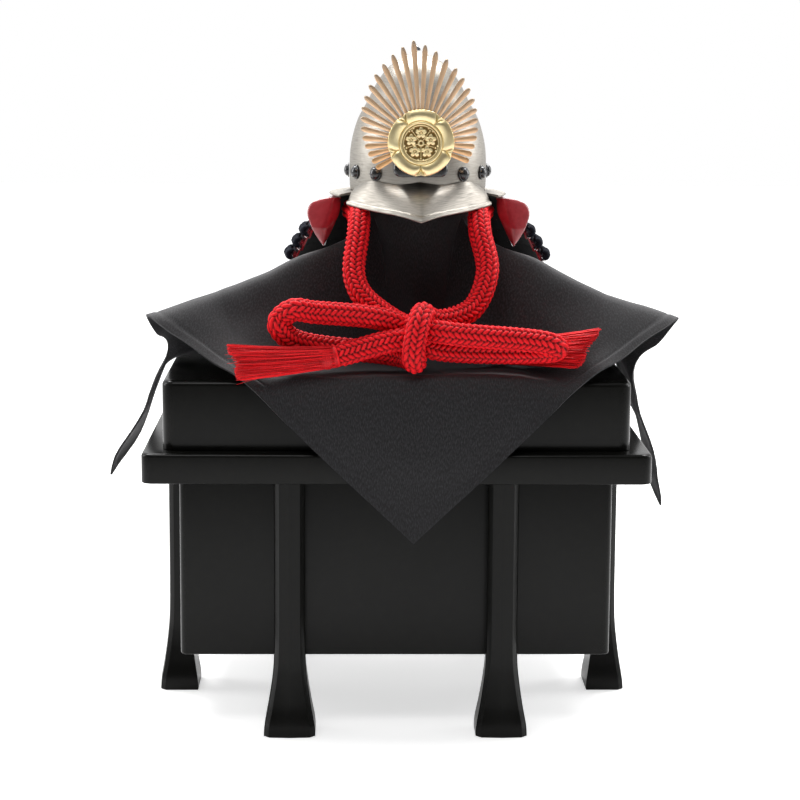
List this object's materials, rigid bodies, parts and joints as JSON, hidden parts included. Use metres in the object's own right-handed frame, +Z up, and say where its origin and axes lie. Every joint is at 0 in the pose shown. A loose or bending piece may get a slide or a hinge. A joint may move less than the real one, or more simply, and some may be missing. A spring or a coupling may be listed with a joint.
{
  "type": "kabuto samurai helmet on a legged display chest with a draped cloth",
  "caption": "Half-size samurai helmet with ray crest, laced neck guard and knotted chin cord, on a draped cloth over a legged lacquer chest.",
  "frame": {"origin": "on the floor, under the middle of the chest", "axes": "+Z up, the helmet and the chest face -Y, +X to the right seen from the front"},
  "size_m": [0.4054, 0.2942, 0.4939],
  "materials": {
    "black_lacquer": "black satin lacquer on wood",
    "post_wood": "plain planed wood",
    "black_satin": "black slub satin",
    "brushed_steel": "fine brushed, warm grey",
    "black_metal": "glossy black",
    "rose_copper": "satin rose copper",
    "bright_gold": "bright brushed gold",
    "red_lacquer": "deep red gloss lacquer",
    "navy_braid": "dark navy silk braid",
    "red_braid": "round red silk braid",
    "red_silk": "loose red silk threads"
  },
  "bodies": {
    "root": {"chest_body": "black_lacquer", "lid_flange": "black_lacquer", "lid_box": "black_lacquer", "helmet_post": "post_wood", "cloth": "black_satin", "bowl": "brushed_steel", "brim": "brushed_steel", "visor": "brushed_steel", "apex_stalk": "black_metal", "crest_base": "black_metal", "crest_rays": "rose_copper", "crest_disc": "bright_gold", "fukigaeshi_left": "red_lacquer", "fukigaeshi_right": "red_lacquer", "chin_cord": "red_braid", "tassel_left": "red_silk", "tassel_right": "red_silk", "leg_front_left": "black_lacquer", "leg_front_right": "black_lacquer", "leg_side_left": "black_lacquer", "leg_side_right": "black_lacquer", "leg_back_left": "black_lacquer", "leg_back_right": "black_lacquer", "rivet_1": "black_metal", "rivet_2": "black_metal", "rivet_3": "black_metal", "rivet_4": "black_metal", "rivet_5": "black_metal", "rivet_6": "black_metal", "rivet_7": "black_metal", "rivet_8": "black_metal", "rivet_9": "black_metal", "rivet_10": "black_metal", "rivet_11": "black_metal", "rivet_12": "black_metal", "shikoro_lame_1": "red_lacquer", "shikoro_lame_2": "red_lacquer", "shikoro_lame_3": "red_lacquer", "shikoro_lame_4": "red_lacquer", "lacing_row_1": "navy_braid", "lacing_row_2": "navy_braid", "lacing_row_3": "navy_braid"}
  },
  "joints": []
}
